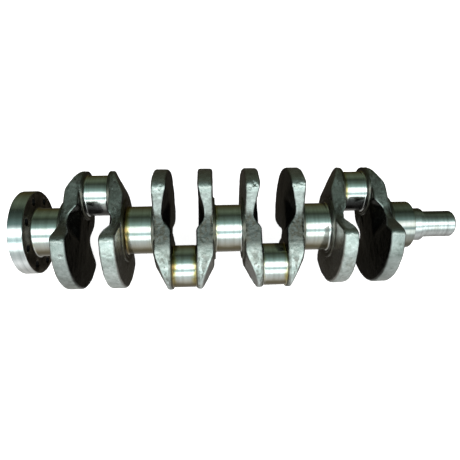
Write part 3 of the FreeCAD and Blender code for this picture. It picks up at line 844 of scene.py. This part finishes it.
def oil_mouth(k):
    """Mouth point and inward direction of the plugged drilling at crankpin k."""
    s = PIN_SIGN[k]
    way = 1 if k < 2 else -1
    feed = main_x(k) if k < 2 else main_x(k + 1)
    mouth = Vector((feed + way * OIL_REACH, s * 67.0, -9.0))
    return mouth, (Vector((feed, 0, 0)) - mouth).normalized()


def build():
    forged = forged_material()
    ground = ground_material("ground_journal")
    shaded = ground_material("ground_shaded_pin", under_shade_colour=(0.022, 0.018, 0.016))
    # main journal 1 gets a painted shadow; crankpins 1 and 4 a near-black painted underside shade
    special = {"main_journal_1": ground_material("ground_journal_painted_shadow", painted_shadow_share=0.5),
               "crankpin_1": shaded, "crankpin_4": shaded}
    made = []
    for k in range(4):
        for number, toward in ((8 - 2 * k, True), (7 - 2 * k, False)):
            web = forged_web(number, k, toward)
            if toward != (k < 2):
                mouth, along = oil_mouth(k)
                cut_with(web, [drill(mouth - along * 12, mouth + along * 2.6, [(0, 4.05), (1, 4.05)])])
            put_material(web, forged)
            made.append(web)
    for piece in pin_and_main_pieces():
        put_material(piece, special.get(piece.name, ground))
        made.append(piece)
    flange = flange_piece()
    put_material(flange, flange_material())
    flange.visible_glossy = False
    nose = nose_piece()
    put_material(nose, turned_material("turned_nose", (0.66, 0.69, 0.69), (0.44, 0.45, 0.45)))
    made += [flange, nose]
    for obj in made:
        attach(obj, "crank")
        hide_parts(FORGING)
    return made


def world_light():
    """Soft white room for diffuse light; reflections see a dark room with bright panels overhead."""
    world = bpy.data.worlds.new("studio")
    bpy.context.scene.world = world
    world.use_nodes = True
    tree = world.node_tree
    tree.nodes.clear()
    new = tree.nodes.new
    coords = new("ShaderNodeTexCoord")
    split = new("ShaderNodeSeparateXYZ")
    tree.links.new(coords.outputs["Generated"], split.inputs[0])
    angle = new("ShaderNodeMath")
    angle.operation = "ARCTAN2"
    flip = new("ShaderNodeMath")
    flip.operation = "MULTIPLY"
    flip.inputs[1].default_value = -1.0
    tree.links.new(split.outputs["Y"], flip.inputs[0])
    tree.links.new(flip.outputs[0], angle.inputs[0])
    tree.links.new(split.outputs["Z"], angle.inputs[1])
    place = new("ShaderNodeMapRange")
    place.inputs["From Min"].default_value = -math.pi
    place.inputs["From Max"].default_value = math.pi
    tree.links.new(angle.outputs[0], place.inputs["Value"])
    ramp = new("ShaderNodeValToRGB")
    # angle from the zenith toward -Y in degrees, then brightness and tint
    stops = [(-150, (0.05, 0.045, 0.035)), (-120, (0.045, 0.038, 0.012)), (-70, (0.095, 0.125, 0.08)),
             (-46, (0.030, 0.042, 0.028)), (-24, (0.11, 0.16, 0.13)), (-4, (0.30, 0.46, 0.42)),
             (7, (1.5, 1.7, 1.65)), (13, (2.3, 2.4, 2.35)), (24, (2.2, 2.35, 2.3)), (32, (0.75, 0.95, 0.93)),
             (40, (0.50, 0.72, 0.72)), (49, (1.9, 2.1, 2.05)), (60, (1.7, 1.9, 1.85)),
             (72, (0.66, 0.74, 0.72)), (105, (0.95, 0.98, 0.97)), (140, (0.50, 0.50, 0.48))]
    peak = 2.5
    band = ramp.color_ramp
    while len(band.elements) < len(stops):
        band.elements.new(0.5)
    for element, (degrees, colour) in zip(band.elements, stops):
        element.position = (degrees + 180) / 360
        element.color = (*(c / peak for c in colour), 1.0)
    tree.links.new(place.outputs["Result"], ramp.inputs["Fac"])
    mirror = new("ShaderNodeBackground")
    tree.links.new(ramp.outputs["Color"], mirror.inputs["Color"])
    mirror.inputs["Strength"].default_value = peak
    room = new("ShaderNodeBackground")
    room.inputs["Color"].default_value = (1.0, 1.0, 1.0, 1.0)
    room.inputs["Strength"].default_value = 0.95
    path = new("ShaderNodeLightPath")
    mix = new("ShaderNodeMixShader")
    tree.links.new(path.outputs["Is Glossy Ray"], mix.inputs[0])
    tree.links.new(room.outputs[0], mix.inputs[1])
    tree.links.new(mirror.outputs[0], mix.inputs[2])
    out = new("ShaderNodeOutputWorld")
    tree.links.new(mix.outputs[0], out.inputs["Surface"])


def floor_and_lamp():
    low = cad_bounds[0][2]
    mesh = bpy.data.meshes.new("floor")
    w = 6.0
    z = low - 0.0002
    mesh.from_pydata([(-w, -w, z), (w, -w, z), (w, w, z), (-w, w, z)], [], [(0, 1, 2, 3)])
    floor = bpy.data.objects.new("floor", mesh)
    bpy.context.collection.objects.link(floor)
    mat = bpy.data.materials.new("floor_paper")
    mat.use_nodes = True
    bsdf = mat.node_tree.nodes["Principled BSDF"]
    bsdf.inputs["Base Color"].default_value = (0.93, 0.93, 0.93, 1)
    bsdf.inputs["Roughness"].default_value = 0.9
    bsdf.inputs["Specular IOR Level"].default_value = 0.1
    bsdf.inputs["Emission Color"].default_value = (1, 1, 1, 1)
    bsdf.inputs["Emission Strength"].default_value = 0.75
    mesh.materials.append(mat)
    floor.visible_glossy = False
    lamp = bpy.data.lights.new("softbox", "AREA")
    lamp.energy = 9.0
    lamp.shape = "RECTANGLE"
    lamp.size = 1.6
    lamp.size_y = 0.9
    lamp.color = (1.0, 0.99, 0.97)
    lamp_obj = bpy.data.objects.new("softbox", lamp)
    bpy.context.collection.objects.link(lamp_obj)
    lamp_obj.location = (0.20, -0.95, 1.15)
    lamp_obj.visible_glossy = False
    aim = Vector((0.27, 0.0, 0.0)) - lamp_obj.location
    lamp_obj.rotation_euler = aim.to_track_quat("-Z", "Y").to_euler()


def camera():
    data = bpy.data.cameras.new("camera")
    data.lens = 31.92
    data.sensor_width = 36.0
    data.clip_start = 0.01
    obj = bpy.data.objects.new("camera", data)
    bpy.context.collection.objects.link(obj)
    right = Vector((0.998691, -0.034663, 0.037614))
    up = Vector((0.021910, 0.954378, 0.297797))
    back = Vector((-0.046221, -0.296583, 0.953888))
    turn = Matrix((right, up, back)).transposed().to_4x4()
    obj.matrix_world = Matrix.Translation((0.230827, -0.157286, 0.497850)) @ turn
    bpy.context.scene.camera = obj


build()
dress_cad_nodes()
world_light()
floor_and_lamp()
camera()
bpy.context.scene.view_settings.view_transform = "Standard"
